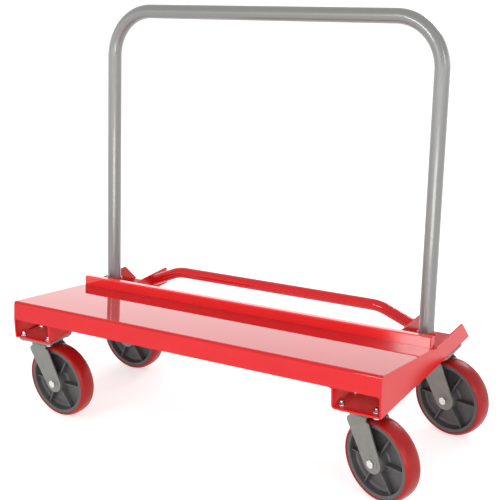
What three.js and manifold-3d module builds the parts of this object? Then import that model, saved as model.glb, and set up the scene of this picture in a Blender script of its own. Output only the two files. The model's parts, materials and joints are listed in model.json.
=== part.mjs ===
// Drywall cart: a sloping steel deck on four swivel casters, with a lift-out tube frame behind it.
// Millimetres. +X runs along the deck, +Y to the rear, +Z up. The origin is on the floor.
import * as THREE from "three";
import { mergeVertices } from "three/addons/utils/BufferGeometryUtils.js";
import Module from "manifold-3d";

const wasm = await Module();
wasm.setup();

const DEG = Math.PI / 180;
const GAP = 0.3;

// Deck and side members.
const DECK_LENGTH = 1140;
const DECK_DEPTH = 325;
const DECK_TILT = 8.8 * DEG;
const DECK_FRONT_Z = 337;
const SHEET = 5;
const APRON_HEIGHT = 52.5;
const WEB_Z = 232;
const SIDE_FRONT_Y = -10;
const SIDE_REAR_Y = 548;
const SIDE_REAR_HEIGHT = 54;
const SIDE_TIP_CUT = 50;
const CHANNEL_WIDTH = 130;
const WEB_REAR_Y = 530;
const BEND_RADIUS = 8;

// Backstop along the rear edge of the deck sheet, and the rib under the deck.
const BACKSTOP_FRONT = 300;
const BACKSTOP_DEPTH = 25;
const BACKSTOP_HEIGHT = 28;
const BACKSTOP_WALL = 2.5;
const BACKSTOP_CAP = 3;
const BACKSTOP_END = 563;
const RIB_FRONT = 130;
const RIB_DEPTH = 42;
const RIB_HEIGHT = 32;
const RIB_WALL = 4;

// Upright tube frame and its sockets.
const HANDLE_TILT = 7.6 * DEG;
const HANDLE_RADIUS = 20;
const HANDLE_WALL = 3;
const HANDLE_BEND = 130;
const HANDLE_RISE = 800;
const LEG_X = 516;
const RIM_Y = 379;
const RIM_Z = 299;
const SOCKET_RADIUS = 24.15;
const SOCKET_BORE = 20.6;

// Arched tube between the side members at the rear.
const RAIL_Y = 476;
const RAIL_RADIUS = 16;
const RAIL_WALL = 2.5;
const RAIL_TOP_Z = 308;
const RAIL_BEND = 125;
const RAIL_SLOPE = 22.5 * DEG;
const RAIL_FLAT_X = 313;

// Casters: kingpin positions, the angle each one trails at, and the spacing of its plate bolts.
const CASTERS = [
  { tag: "front_left", x: -503, y: 42, trail: -4, bolts: [92, 76.2] },
  { tag: "front_right", x: 503, y: 50, trail: -18, bolts: [92, 76.2] },
  { tag: "rear_right", x: 521, y: 438, trail: -13, bolts: [66.7, 92] },
  { tag: "rear_left", x: -521, y: 398, trail: -3, bolts: [66.7, 92] },
];
const WHEEL_RADIUS = 106;
const TYRE_WIDTH = 50;
const TYRE_DEPTH = 10.8;
const WHEEL_OFFSET = 50;
const HUB_LENGTH = 60;
const HUB_RADIUS = 28;
const RIB_COUNT = 6;
const AXLE_RADIUS = 6.35;
const AXLE_HEX = 11;
const FORK_INSIDE = 31;
const FORK_PLATE = 5;
const FORK_BOSS = 27;
const FLANGE_RADIUS = 17;
const FLANGE_THICK = 2;
const CROWN_TOP = 220;
const CROWN_THICK = 5;
const CROWN_RADIUS = 38;
const SKIRT_LOW = 207;
const KINGPIN_RADIUS = 8;
const PLATE_LONG = 114.3;
const PLATE_SHORT = 101.6;
const PLATE_THICK = 6;
const BOLT_RADIUS = 4.7;
const BOLT_HEX = 8.2;

function paint(color, metalness, roughness) {
  return new THREE.MeshStandardMaterial({ color, metalness, roughness });
}

const RED = paint(0xd8262c, 0.1, 0.25);
const SILVER = paint(0x96969a, 0.5, 0.35);
const GREY = paint(0x8c8c84, 0.6, 0.45);
const ZINC = paint(0xc8c8c8, 0.9, 0.3);
const CORE = paint(0x504e50, 0.0, 0.5);
const TYRE = paint(0xa92c2c, 0.0, 0.4);

// --- solids ------------------------------------------------------------------------------------

function toManifold(geometry) {
  const clean = geometry.index ? geometry.clone() : geometry;
  clean.deleteAttribute("normal");
  clean.deleteAttribute("uv");
  const merged = mergeVertices(clean, 1e-4);
  const solid = new wasm.Manifold(
    new wasm.Mesh({
      numProp: 3,
      vertProperties: new Float32Array(merged.attributes.position.array),
      triVerts: new Uint32Array(merged.index.array),
    }),
  );
  return solid;
}

function toGeometry(solid) {
  const mesh = solid.getMesh();
  const geometry = new THREE.BufferGeometry();
  geometry.setAttribute("position", new THREE.BufferAttribute(new Float32Array(mesh.vertProperties), 3));
  geometry.setIndex(new THREE.BufferAttribute(new Uint32Array(mesh.triVerts), 1));
  geometry.computeVertexNormals();
  return geometry;
}

function shapeFrom(points) {
  return new THREE.Shape(points.map(([x, y]) => new THREE.Vector2(x, y)));
}

function extrude(shape, depth, curveSegments = 6) {
  return new THREE.ExtrudeGeometry(shape, { depth, bevelEnabled: false, curveSegments });
}

// Rectangle with rounded corners, centred on (cx, cy).
function roundedRect(width, height, radius, cx = 0, cy = 0) {
  const x = cx - width / 2;
  const y = cy - height / 2;
  const shape = new THREE.Shape();
  shape.moveTo(x + radius, y);
  shape.lineTo(x + width - radius, y);
  shape.absarc(x + width - radius, y + radius, radius, -Math.PI / 2, 0);
  shape.lineTo(x + width, y + height - radius);
  shape.absarc(x + width - radius, y + height - radius, radius, 0, Math.PI / 2);
  shape.lineTo(x + radius, y + height);
  shape.absarc(x + radius, y + height - radius, radius, Math.PI / 2, Math.PI);
  shape.lineTo(x, y + radius);
  shape.absarc(x + radius, y + radius, radius, Math.PI, 1.5 * Math.PI);
  return shape;
}

// Maps a profile drawn in (y, z) and extruded along +Z of the shape onto the row's X axis.
const ALONG_X = new THREE.Matrix4().makeBasis(
  new THREE.Vector3(0, 1, 0),
  new THREE.Vector3(0, 0, 1),
  new THREE.Vector3(1, 0, 0),
);

// The same for a profile drawn in deck axes: s runs down the slope from the front, n is normal to it.
const DECK_AXES = new THREE.Matrix4()
  .makeBasis(
    new THREE.Vector3(0, Math.cos(DECK_TILT), -Math.sin(DECK_TILT)),
    new THREE.Vector3(0, Math.sin(DECK_TILT), Math.cos(DECK_TILT)),
    new THREE.Vector3(1, 0, 0),
  )
  .setPosition(0, 0, DECK_FRONT_Z);

function deckPoint(s, n) {
  const p = new THREE.Vector3(s, n, 0).applyMatrix4(DECK_AXES);
  return [p.y, p.z];
}

// Extrudes a shape between two X positions, in row axes or in deck axes.
function prismX(shape, x0, x1, axes = ALONG_X, curveSegments = 6) {
  const geometry = extrude(shape, x1 - x0, curveSegments);
  geometry.applyMatrix4(axes);
  geometry.translate(x0, 0, 0);
  return geometry;
}

function cylinder(radius, height, sides = 20) {
  const geometry = new THREE.CylinderGeometry(radius, radius, height, sides);
  geometry.rotateX(Math.PI / 2);
  return geometry;
}

function box(x0, x1, y0, y1, z0, z1) {
  const geometry = new THREE.BoxGeometry(x1 - x0, y1 - y0, z1 - z0);
  geometry.translate((x0 + x1) / 2, (y0 + y1) / 2, (z0 + z1) / 2);
  return geometry;
}

// A path through fixed points: sample i of n falls exactly on point i.
class PointPath extends THREE.Curve {
  constructor(points) {
    super();
    this.points = points;
  }
  getPoint(t, target = new THREE.Vector3()) {
    const last = this.points.length - 1;
    const at = Math.min(Math.max(t, 0), 1) * last;
    const i = Math.min(Math.floor(at), last - 1);
    return target.lerpVectors(this.points[i], this.points[i + 1], at - i);
  }
  getUtoTmapping(u) {
    return u;
  }
}

// Hollow round tube along the points, open at both ends.
function tube(points, radius, wall, sides) {
  const ring = new THREE.Shape();
  ring.absarc(0, 0, radius, 0, 2 * Math.PI);
  const bore = new THREE.Path();
  bore.absarc(0, 0, radius - wall, 0, 2 * Math.PI, true);
  ring.holes.push(bore);
  return new THREE.ExtrudeGeometry(ring, {
    steps: points.length - 1,
    curveSegments: sides,
    extrudePath: new PointPath(points),
  });
}

function addMesh(parent, name, geometry, material) {
  const mesh = new THREE.Mesh(geometry, material);
  mesh.name = name;
  parent.add(mesh);
  return mesh;
}

// --- deck and side members -----------------------------------------------------------------------

function deckTray() {
  const rear = BACKSTOP_FRONT - GAP;
  const shape = new THREE.Shape();
  shape.moveTo(rear, -SHEET);
  shape.lineTo(rear, 0);
  shape.lineTo(BEND_RADIUS, 0);
  shape.absarc(BEND_RADIUS, -BEND_RADIUS, BEND_RADIUS, Math.PI / 2, Math.PI);
  shape.lineTo(0, -APRON_HEIGHT);
  shape.lineTo(SHEET, -APRON_HEIGHT);
  shape.lineTo(SHEET, -BEND_RADIUS);
  shape.absarc(BEND_RADIUS, -BEND_RADIUS, BEND_RADIUS - SHEET, Math.PI, Math.PI / 2, true);
  return prismX(shape, -DECK_LENGTH / 2, DECK_LENGTH / 2, DECK_AXES);
}

// Side view of the upright plates: a wedge under the deck, then a low bar running on to the rear,
// with its top rear corner cut back by the amount given.
function sideOutline(cut) {
  const top = WEB_Z + SIDE_REAR_HEIGHT;
  const under = -SHEET - GAP;
  const behind = BEND_RADIUS + GAP;
  const [rearY] = deckPoint(DECK_DEPTH + 2 * GAP, under);
  return shapeFrom([
    [SIDE_FRONT_Y, WEB_Z],
    [SIDE_REAR_Y, WEB_Z],
    [SIDE_REAR_Y - cut, top],
    [rearY, top],
    deckPoint(DECK_DEPTH + 2 * GAP, under),
    deckPoint(behind, under),
    deckPoint(SHEET + GAP, -behind),
    deckPoint(SHEET + GAP, -APRON_HEIGHT - GAP),
    deckPoint(0, -APRON_HEIGHT - GAP),
  ]);
}

function endPlate(side) {
  const outer = DECK_LENGTH / 2;
  const x0 = side > 0 ? outer - SHEET : -outer;
  return prismX(sideOutline(SIDE_TIP_CUT), x0, x0 + SHEET);
}

// Bent plate: a flat web that carries the casters, and an upright inner flange.
function casterChannel(side) {
  const inner = DECK_LENGTH / 2 - CHANNEL_WIDTH;
  const outer = DECK_LENGTH / 2 - SHEET - GAP;
  const shape = new THREE.Shape();
  shape.moveTo(outer, WEB_Z);
  shape.lineTo(outer, WEB_Z + SHEET);
  shape.lineTo(inner + BEND_RADIUS, WEB_Z + SHEET);
  shape.absarc(inner + BEND_RADIUS, WEB_Z + BEND_RADIUS, BEND_RADIUS - SHEET, 1.5 * Math.PI, Math.PI, true);
  shape.lineTo(inner + SHEET, DECK_FRONT_Z);
  shape.lineTo(inner, DECK_FRONT_Z);
  shape.lineTo(inner, WEB_Z + BEND_RADIUS);
  shape.absarc(inner + BEND_RADIUS, WEB_Z + BEND_RADIUS, BEND_RADIUS, Math.PI, 1.5 * Math.PI);
  const bent = extrude(shape, SIDE_REAR_Y - SIDE_FRONT_Y, 5);
  bent.rotateX(Math.PI / 2);
  bent.translate(0, SIDE_REAR_Y, 0);
  const outline = prismX(sideOutline(0), inner - 1, outer + 1);
  const notch = box(inner + BEND_RADIUS, outer + 1, WEB_REAR_Y, SIDE_REAR_Y + 1, WEB_Z - 1, WEB_Z + 60);
  let solid = toManifold(bent).intersect(toManifold(outline)).subtract(toManifold(notch));
  for (const caster of CASTERS) {
    if (Math.sign(caster.x) === side) {
      for (const [x, y] of boltPlaces(caster)) {
        const hole = cylinder(BOLT_RADIUS + 0.6, 3 * SHEET, 12);
        hole.translate(Math.abs(x), y, WEB_Z);
        solid = solid.subtract(toManifold(hole));
      }
    }
  }
  if (side < 0) {
    solid = solid.mirror([1, 0, 0]);
  }
  return toGeometry(solid);
}

// Section of the backstop tube in deck axes, drawn in from its outside by the wall given.
function backstopSection(wall, radius) {
  const height = BACKSTOP_HEIGHT + SHEET;
  const s = BACKSTOP_FRONT + BACKSTOP_DEPTH / 2;
  return roundedRect(BACKSTOP_DEPTH - 2 * wall, height - 2 * wall, radius, s, height / 2 - SHEET);
}

function backstop() {
  const shape = backstopSection(0, 3.5);
  const hollow = backstopSection(BACKSTOP_WALL, 1.5);
  shape.holes.push(new THREE.Path(hollow.getPoints(3).reverse()));
  const end = BACKSTOP_END - BACKSTOP_CAP - GAP;
  return prismX(shape, -end, end, DECK_AXES, 3);
}

function backstopCap(side) {
  const shape = backstopSection(0, 3.5);
  const x0 = side > 0 ? BACKSTOP_END - BACKSTOP_CAP : -BACKSTOP_END;
  return prismX(shape, x0, x0 + BACKSTOP_CAP, DECK_AXES, 3);
}

function deckRib() {
  const top = -SHEET - GAP;
  const s0 = RIB_FRONT;
  const s1 = RIB_FRONT + RIB_DEPTH;
  const shape = shapeFrom([
    [s0, top],
    [s0, top - RIB_HEIGHT],
    [s1, top - RIB_HEIGHT],
    [s1, top],
    [s1 - RIB_WALL, top],
    [s1 - RIB_WALL, top - RIB_HEIGHT + RIB_WALL],
    [s0 + RIB_WALL, top - RIB_HEIGHT + RIB_WALL],
    [s0 + RIB_WALL, top],
  ]);
  const end = DECK_LENGTH / 2 - CHANNEL_WIDTH - GAP;
  return prismX(shape, -end, end, DECK_AXES);
}

// --- tube frame ------------------------------------------------------------------------------------

// Point on a leg's plane: x across, h along the leg from the socket rim.
function framePoint(x, h) {
  return new THREE.Vector3(x, RIM_Y + h * Math.sin(HANDLE_TILT), RIM_Z + h * Math.cos(HANDLE_TILT));
}

function handleFrame() {
  const drop = RIM_Z - WEB_Z - SHEET - GAP - HANDLE_RADIUS * Math.sin(HANDLE_TILT);
  const bottom = -drop / Math.cos(HANDLE_TILT);
  const steps = 10;
  const points = [framePoint(-LEG_X, bottom)];
  for (let i = 0; i <= steps; i += 1) {
    const a = (i / steps) * (Math.PI / 2);
    points.push(
      framePoint(
        -LEG_X + HANDLE_BEND * (1 - Math.cos(a)),
        HANDLE_RISE - HANDLE_BEND * (1 - Math.sin(a)),
      ),
    );
  }
  for (let i = steps; i >= 0; i -= 1) {
    const a = (i / steps) * (Math.PI / 2);
    points.push(
      framePoint(
        LEG_X - HANDLE_BEND * (1 - Math.cos(a)),
        HANDLE_RISE - HANDLE_BEND * (1 - Math.sin(a)),
      ),
    );
  }
  points.push(framePoint(LEG_X, bottom));
  return tube(points, HANDLE_RADIUS, HANDLE_WALL, 10);
}

function legSocket(side) {
  const long = 180;
  const outer = cylinder(SOCKET_RADIUS, long, 28);
  const bore = cylinder(SOCKET_BORE, long + 20, 28);
  const lean = new THREE.Matrix4().makeRotationX(-HANDLE_TILT);
  const middle = framePoint(side * LEG_X, -long / 2);
  for (const geometry of [outer, bore]) {
    geometry.applyMatrix4(lean);
    geometry.translate(middle.x, middle.y, middle.z);
  }
  const above = box(-700, 700, 0, 700, WEB_Z + SHEET + GAP, 600);
  return toGeometry(toManifold(outer).subtract(toManifold(bore)).intersect(toManifold(above)));
}

// Arch: level in the middle, one bend down at each side, ends cut square to X at the flanges.
function rearRail() {
  const end = DECK_LENGTH / 2 - CHANNEL_WIDTH - GAP;
  const steps = 5;
  const half = [];
  for (let i = 0; i <= steps; i += 1) {
    const a = (i / steps) * RAIL_SLOPE;
    half.push([
      RAIL_FLAT_X + RAIL_BEND * Math.sin(a),
      RAIL_TOP_Z - RAIL_BEND * (1 - Math.cos(a)),
    ]);
  }
  const [bendX, bendZ] = half[steps];
  const reach = end + 20 - bendX;
  half.push([bendX + reach, bendZ - reach * Math.tan(RAIL_SLOPE)]);
  const left = half.map(([x, z]) => new THREE.Vector3(-x, RAIL_Y, z)).reverse();
  const right = half.map(([x, z]) => new THREE.Vector3(x, RAIL_Y, z));
  const raw = tube([...left, ...right], RAIL_RADIUS, RAIL_WALL, 10);
  const between = box(-end, end, 400, 600, 200, 400);
  return toGeometry(toManifold(raw).intersect(toManifold(between)));
}

// --- casters ---------------------------------------------------------------------------------------

// The four bolt centres of a caster plate, in the row's x and y.
function boltPlaces(caster) {
  const [dx, dy] = caster.bolts.map((spacing) => spacing / 2);
  return [
    [caster.x - dx, caster.y - dy],
    [caster.x + dx, caster.y - dy],
    [caster.x + dx, caster.y + dy],
    [caster.x - dx, caster.y + dy],
  ];
}

// Top plate with its kingpin and the kingpin's head, centred on the kingpin.
function casterPlate(caster) {
  const across = caster.bolts[0] > caster.bolts[1];
  const width = across ? PLATE_LONG : PLATE_SHORT;
  const depth = across ? PLATE_SHORT : PLATE_LONG;
  const top = WEB_Z - GAP;
  const plate = extrude(roundedRect(width, depth, 9), PLATE_THICK, 4);
  plate.translate(0, 0, top - PLATE_THICK);
  let solid = toManifold(plate);
  const stemLow = CROWN_TOP - CROWN_THICK - 6;
  const stem = cylinder(KINGPIN_RADIUS, top - 1 - stemLow);
  stem.translate(0, 0, (top - 1 + stemLow) / 2);
  const head = cylinder(14, 5, 6);
  head.translate(0, 0, stemLow + 2.5);
  const seat = cylinder(18, 5);
  seat.translate(0, 0, top - PLATE_THICK - 1.5);
  for (const piece of [stem, head, seat]) {
    solid = solid.add(toManifold(piece));
  }
  for (const [x, y] of boltPlaces({ ...caster, x: 0, y: 0 })) {
    const hole = cylinder(BOLT_RADIUS + 0.6, 3 * PLATE_THICK, 12);
    hole.translate(x, y, top);
    solid = solid.subtract(toManifold(hole));
  }
  return toGeometry(solid);
}

// Plate bolt: head under the caster plate, nut and bolt end above the web.
function plateBolt() {
  const low = WEB_Z - GAP - PLATE_THICK - GAP;
  const high = WEB_Z + SHEET + GAP;
  const shank = cylinder(BOLT_RADIUS, high + 12 - low + 3, 12);
  shank.translate(0, 0, (high + 12 + low - 3) / 2);
  const head = cylinder(BOLT_HEX, 5, 6);
  head.translate(0, 0, low - 2.5);
  const nut = cylinder(BOLT_HEX, 8, 6);
  nut.translate(0, 0, high + 4);
  return toGeometry(toManifold(shank).add(toManifold(head)).add(toManifold(nut)));
}

function ballRace() {
  const low = CROWN_TOP + GAP;
  const high = WEB_Z - GAP - PLATE_THICK - GAP;
  const profile = [
    [20, low],
    [35, low],
    [35, high - 3],
    [33, high],
    [20, high],
    [20, low],
  ];
  const ring = new THREE.LatheGeometry(profile.map(([r, z]) => new THREE.Vector2(r, z)), 24);
  ring.rotateX(Math.PI / 2);
  return ring;
}

// Where a line from a point touches the fork's boss circle, on the given side.
function tangentAngle(px, pz, sign) {
  const dx = px - WHEEL_OFFSET;
  const dz = pz - WHEEL_RADIUS;
  return Math.atan2(dz, dx) + sign * Math.acos(FORK_BOSS / Math.hypot(dx, dz));
}

function forkLeg(side) {
  const front = -CROWN_RADIUS;
  const back = CROWN_RADIUS;
  const a0 = tangentAngle(back, SKIRT_LOW, -1);
  const a1 = tangentAngle(front, SKIRT_LOW, 1);
  const shape = new THREE.Shape();
  shape.moveTo(front, CROWN_TOP);
  shape.lineTo(front, SKIRT_LOW);
  shape.absarc(WHEEL_OFFSET, WHEEL_RADIUS, FORK_BOSS, a1, a0 + 2 * Math.PI);
  shape.lineTo(back, SKIRT_LOW);
  shape.lineTo(back, CROWN_TOP);
  const leg = extrude(shape, FORK_PLATE, 12);
  leg.rotateX(Math.PI / 2);
  leg.translate(0, side > 0 ? FORK_INSIDE + FORK_PLATE : -FORK_INSIDE, 0);
  return toManifold(leg);
}

function acrossHole(radius, sides = 24) {
  const hole = new THREE.CylinderGeometry(radius, radius, 120, sides);
  hole.translate(WHEEL_OFFSET, 0, WHEEL_RADIUS);
  return toManifold(hole);
}

function fork() {
  const bottom = CROWN_TOP - CROWN_THICK;
  const half = FORK_INSIDE + FORK_PLATE;
  const disc = cylinder(CROWN_RADIUS, CROWN_THICK, 28);
  disc.translate(0, 0, CROWN_TOP - CROWN_THICK / 2);
  const bridge = box(-CROWN_RADIUS, CROWN_RADIUS, -half, half, bottom, CROWN_TOP);
  const bore = cylinder(KINGPIN_RADIUS + 0.4, 40);
  bore.translate(0, 0, CROWN_TOP);
  return toGeometry(
    toManifold(disc)
      .add(toManifold(bridge))
      .add(forkLeg(1))
      .add(forkLeg(-1))
      .subtract(toManifold(bore))
      .subtract(acrossHole(AXLE_RADIUS + GAP)),
  );
}

// Axle bolt along local Y: flanged hex head in front of one leg, plain end past the other.
function axleBolt() {
  const face = FORK_INSIDE + FORK_PLATE + GAP;
  const shank = new THREE.CylinderGeometry(AXLE_RADIUS, AXLE_RADIUS, 2 * face + 14, 24);
  shank.translate(0, 5, 0);
  const flange = new THREE.CylinderGeometry(FLANGE_RADIUS, FLANGE_RADIUS, FLANGE_THICK, 24);
  flange.translate(0, -face - FLANGE_THICK / 2, 0);
  const head = new THREE.CylinderGeometry(AXLE_HEX, AXLE_HEX, 7, 6);
  head.translate(0, -face - 3.5, 0);
  const solid = toManifold(shank).add(toManifold(flange)).add(toManifold(head));
  return toGeometry(solid.translate([WHEEL_OFFSET, 0, WHEEL_RADIUS]));
}

function axleNut() {
  const face = FORK_INSIDE + FORK_PLATE + GAP;
  const flange = new THREE.CylinderGeometry(FLANGE_RADIUS, FLANGE_RADIUS, FLANGE_THICK, 24);
  flange.translate(WHEEL_OFFSET, face + FLANGE_THICK / 2, WHEEL_RADIUS);
  const nut = new THREE.CylinderGeometry(AXLE_HEX, AXLE_HEX, 9, 6);
  nut.translate(WHEEL_OFFSET, face + 4.5, WHEEL_RADIUS);
  return toGeometry(toManifold(flange).add(toManifold(nut)).subtract(acrossHole(AXLE_RADIUS + GAP)));
}

// Turns a profile of [radius, y] and its mirror image at -y about the axle.
function turned(upper, segments) {
  const lower = upper.map(([r, y]) => [r, -y]);
  const profile = [...[...upper].reverse(), ...lower];
  const points = profile.map(([r, y]) => new THREE.Vector2(r, y));
  points.push(points[0].clone());
  return toManifold(new THREE.LatheGeometry(points, segments));
}

function atWheel(solid) {
  return toGeometry(solid.translate([WHEEL_OFFSET, 0, WHEEL_RADIUS]));
}

function wheelCore() {
  const rim = WHEEL_RADIUS - TYRE_DEPTH - GAP;
  const half = TYRE_WIDTH / 2 - 1.5;
  const hub = HUB_LENGTH / 2;
  const bore = AXLE_RADIUS + 0.1;
  const upper = [
    [bore, hub],
    [HUB_RADIUS, hub],
    [HUB_RADIUS + 3, 4],
    [rim - 12, 4],
    [rim - 9, half],
    [rim, half],
  ];
  let solid = turned(upper, 40);
  for (let i = 0; i < RIB_COUNT; i += 1) {
    const rib = box(HUB_RADIUS - 2, rim - 10, -17, 17, -2.5, 2.5);
    rib.rotateY((i * 2 * Math.PI) / RIB_COUNT);
    solid = solid.add(toManifold(rib));
  }
  return atWheel(solid);
}

function wheelTyre() {
  const inner = WHEEL_RADIUS - TYRE_DEPTH;
  const half = TYRE_WIDTH / 2;
  const upper = [
    [inner, half - 1],
    [inner + 2, half],
    [WHEEL_RADIUS - 4.8, half - 3.5],
    [WHEEL_RADIUS - 1.6, half - 10],
    [WHEEL_RADIUS, half - 18],
  ];
  return atWheel(turned(upper, 40));
}

function caster(spec) {
  const group = new THREE.Group();
  group.name = `caster_${spec.tag}`;
  addMesh(group, `caster_plate_${spec.tag}`, casterPlate(spec), GREY);
  boltPlaces({ ...spec, x: 0, y: 0 }).forEach(([x, y], i) => {
    const bolt = addMesh(group, `plate_bolt_${spec.tag}_${i + 1}`, plateBolt(), ZINC);
    bolt.position.set(x, y, 0);
  });
  const swivel = new THREE.Group();
  swivel.name = `swivel_${spec.tag}`;
  swivel.rotation.z = spec.trail * DEG;
  addMesh(swivel, `ball_race_${spec.tag}`, ballRace(), ZINC);
  addMesh(swivel, `fork_${spec.tag}`, fork(), GREY);
  addMesh(swivel, `axle_bolt_${spec.tag}`, axleBolt(), ZINC);
  addMesh(swivel, `axle_nut_${spec.tag}`, axleNut(), ZINC);
  addMesh(swivel, `wheel_core_${spec.tag}`, wheelCore(), CORE);
  addMesh(swivel, `tyre_${spec.tag}`, wheelTyre(), TYRE);
  group.add(swivel);
  group.position.set(spec.x, spec.y, 0);
  return group;
}

// --- assembly --------------------------------------------------------------------------------------

const cart = new THREE.Group();
cart.name = "drywall_cart";
addMesh(cart, "deck_tray", deckTray(), RED);
addMesh(cart, "deck_rib", deckRib(), RED);
addMesh(cart, "backstop", backstop(), RED);
addMesh(cart, "rear_rail", rearRail(), RED);
for (const [label, side] of [["left", -1], ["right", 1]]) {
  addMesh(cart, `end_plate_${label}`, endPlate(side), RED);
  addMesh(cart, `caster_channel_${label}`, casterChannel(side), RED);
  addMesh(cart, `backstop_cap_${label}`, backstopCap(side), RED);
  addMesh(cart, `leg_socket_${label}`, legSocket(side), RED);
}
addMesh(cart, "handle_frame", handleFrame(), SILVER);
for (const spec of CASTERS) {
  cart.add(caster(spec));
}

// The origin goes to the middle of the footprint.
cart.updateMatrixWorld(true);
const extent = new THREE.Box3().setFromObject(cart, true);
cart.position.set(-(extent.min.x + extent.max.x) / 2, -(extent.min.y + extent.max.y) / 2, 0);
cart.updateMatrixWorld(true);

export default cart;
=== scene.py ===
import json
import math
import random

import bmesh
import bpy
from mathutils import Matrix, Vector


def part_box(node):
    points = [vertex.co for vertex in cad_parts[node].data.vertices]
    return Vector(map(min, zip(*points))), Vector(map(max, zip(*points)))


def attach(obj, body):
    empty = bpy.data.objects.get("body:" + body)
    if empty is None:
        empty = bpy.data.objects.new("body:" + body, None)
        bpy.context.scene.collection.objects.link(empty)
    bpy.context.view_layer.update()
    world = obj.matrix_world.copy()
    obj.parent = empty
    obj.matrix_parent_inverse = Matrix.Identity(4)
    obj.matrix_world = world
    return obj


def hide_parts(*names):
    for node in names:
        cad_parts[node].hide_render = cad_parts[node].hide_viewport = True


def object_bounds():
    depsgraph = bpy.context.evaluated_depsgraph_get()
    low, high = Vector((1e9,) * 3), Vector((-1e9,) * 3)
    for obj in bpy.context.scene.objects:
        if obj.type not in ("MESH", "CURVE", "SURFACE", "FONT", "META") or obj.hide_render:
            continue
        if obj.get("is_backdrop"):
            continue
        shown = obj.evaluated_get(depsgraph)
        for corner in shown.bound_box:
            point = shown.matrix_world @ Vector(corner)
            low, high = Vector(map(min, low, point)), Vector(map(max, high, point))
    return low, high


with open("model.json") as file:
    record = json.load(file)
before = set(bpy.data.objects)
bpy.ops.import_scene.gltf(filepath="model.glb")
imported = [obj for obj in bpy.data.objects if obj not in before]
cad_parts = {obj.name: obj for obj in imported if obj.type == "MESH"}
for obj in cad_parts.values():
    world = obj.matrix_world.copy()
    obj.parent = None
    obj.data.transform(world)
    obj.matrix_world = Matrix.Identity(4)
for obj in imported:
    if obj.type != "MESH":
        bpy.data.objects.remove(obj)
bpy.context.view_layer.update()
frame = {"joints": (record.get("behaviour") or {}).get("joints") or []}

# Drywall cart. Shapes are drawn in millimetres in the cart's own axes: x across from the middle of
# the deck, y to the rear from the deck's front edge, z up from the floor. GAP is the room between
# pieces that meet. WEB_TOP and SIDE_INNER are the inner faces of a side member's web and end plate.
MM = 0.001

DECK_HALF = 570.0
DECK_TILT = math.radians(8.8)
DECK_FRONT_Z = 337.0
DECK_REAR = 300.0
SHEET = 5.0
GAP = 0.1
APRON = 52.5
BEND = 8.0
WEB_Z = 232.0
WEB_TOP = WEB_Z + SHEET
SIDE_INNER = DECK_HALF - SHEET
SIDE_FRONT_Y = -10.0
SIDE_REAR_Y = 548.0
SIDE_REAR_HEIGHT = 54.0
SIDE_TIP_CUT = 50.0
WEB_REAR_Y = 530.0
CHANNEL_INNER = 440.0
BACKSTOP_DEPTH = 25.0
BACKSTOP_TOP = 28.0
BAR_END, BAR_CAP = 560.0, 3.0
RIB_FRONT, RIB_REAR, RIB_HEIGHT, RIB_WALL = 130.0, 172.0, 32.0, 4.0

HANDLE_TILT = math.radians(7.6)
HANDLE_RADIUS = 20.0
HANDLE_WALL = 3.0
HANDLE_BEND = 130.0
HANDLE_RISE = 800.0
LEG_X = 516.0
RIM_Y, RIM_Z = 379.0, 299.0
SOCKET_RADIUS = 24.15
SOCKET_BORE = 20.6

RAIL_Y, RAIL_Z = 476.0, 308.0
RAIL_RADIUS, RAIL_WALL = 16.0, 2.5
RAIL_BEND = 125.0
RAIL_SLOPE = math.radians(22.5)
RAIL_FLAT_X = 313.0

TAGS = ("front_left", "front_right", "rear_right", "rear_left")
WHEEL_RADIUS = 106.0
WHEEL_OFFSET = 50.0
TYRE_INNER = 95.2
CROWN_TOP = 220.0
FORK_OUTSIDE = 36.0
FORK_PLATE = 5.0
FORK_BEND = 9.0
FORK_BOSS = 27.0
FORK_HALF = 38.0
SKIRT_LOW = 207.0
AXLE_HEX = 11.0
AXLE_RADIUS, AXLE_THREAD = 6.35, 6.3
WASHER_ROOM = 1.9
SPOKES = 6
PLATE_LONG, PLATE_SHORT = 57.15, 50.8
PLATE_CORNER, PLATE_THICK = 9.0, 6.0
BOLT_RADIUS, BOLT_HEX, BOLT_DROP = 4.7, 8.2, 6.6

deck_low, deck_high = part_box("deck_tray")
side_low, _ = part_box("end_plate_left")
CART = (
    Matrix.Translation(((deck_low.x + deck_high.x) / 2, side_low.y - SIDE_FRONT_Y * MM, 0))
    @ Matrix.Scale(MM, 4)
)


# --- materials -----------------------------------------------------------------------------------


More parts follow.
